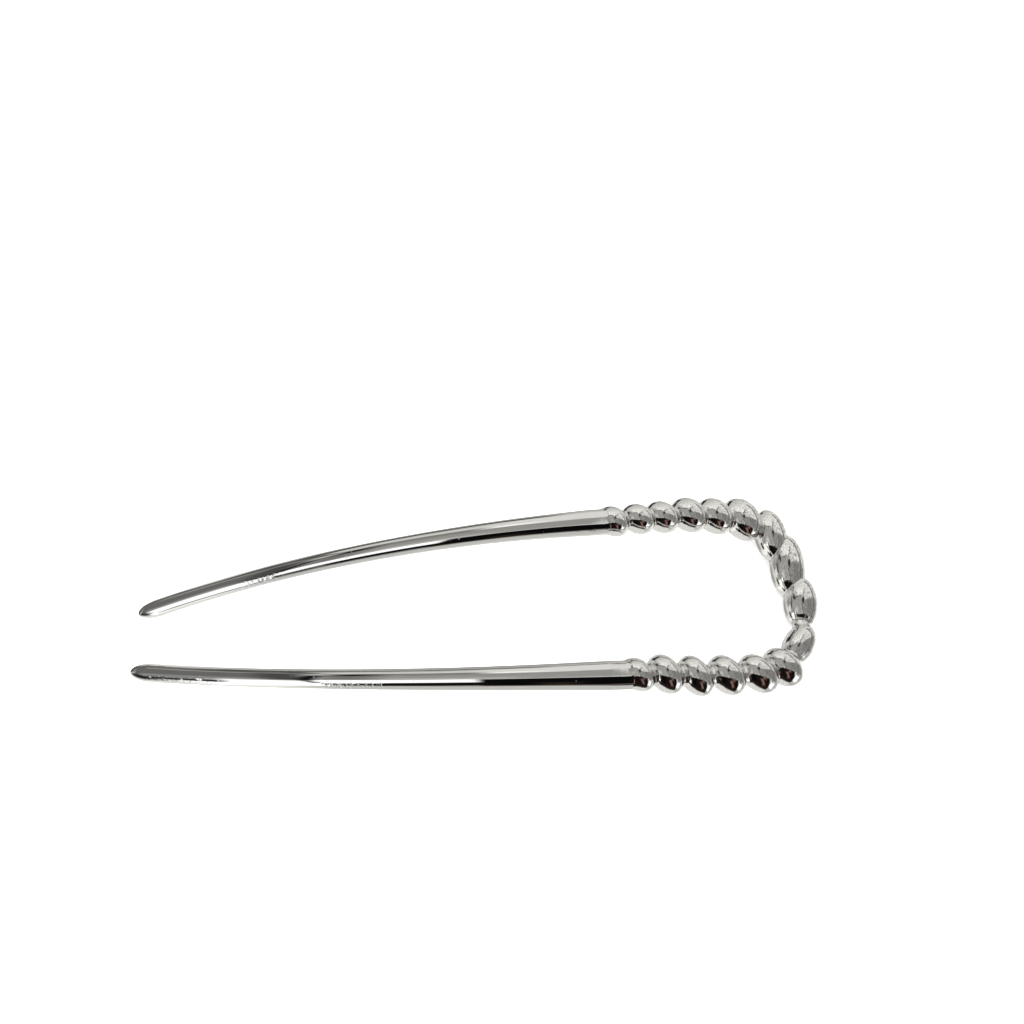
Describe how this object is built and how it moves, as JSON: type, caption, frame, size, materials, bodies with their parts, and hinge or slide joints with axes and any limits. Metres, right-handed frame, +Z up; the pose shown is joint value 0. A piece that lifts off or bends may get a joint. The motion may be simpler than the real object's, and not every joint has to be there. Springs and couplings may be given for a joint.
{
  "type": "u-shaped hairpin",
  "caption": "U-shaped hairpin cast in one piece: two plain tapered prongs, slightly arched, joined by a twisted bow of overlapping oval lobes.",
  "frame": {"origin": "middle of the bounding box on the surface that the pin lies on", "axes": "+X along the pin from the prong tips to the bow, +Y across it to the left prong, +Z up, the way the arch bulges"},
  "size_m": [0.125, 0.0372, 0.0117],
  "materials": {
    "bright_plating": "mirror-bright silver-grey plating over a solid casting"
  },
  "bodies": {
    "root": {"hairpin": "bright_plating"}
  },
  "joints": []
}
